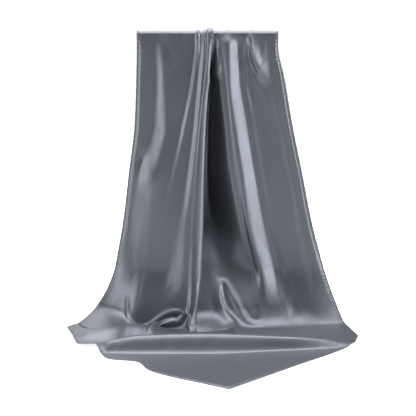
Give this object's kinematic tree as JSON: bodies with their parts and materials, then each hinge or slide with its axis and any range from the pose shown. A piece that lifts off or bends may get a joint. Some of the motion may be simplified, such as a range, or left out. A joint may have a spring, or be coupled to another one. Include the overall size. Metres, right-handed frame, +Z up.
{
  "type": "hijab shawl draped over a rod",
  "caption": "Plain satin hijab shawl hung over a rod, gathered near the middle, with its front end spread over the surface below.",
  "frame": {"origin": "middle of the axis of the rod that holds the shawl up", "axes": "+Z up, +X along the rod to the viewer's right, -Y towards the viewer and the spread end"},
  "size_m": [0.8131, 0.6697, 0.8294],
  "materials": {
    "satin": "satin",
    "hem": "satin",
    "rod": "satin"
  },
  "bodies": {
    "root": {"front_drop": "satin", "floor_spread": "satin", "back_drop": "satin", "hem_left": "hem", "hem_right": "hem", "hem_front": "hem", "hem_back": "hem", "rod": "rod"}
  },
  "joints": []
}
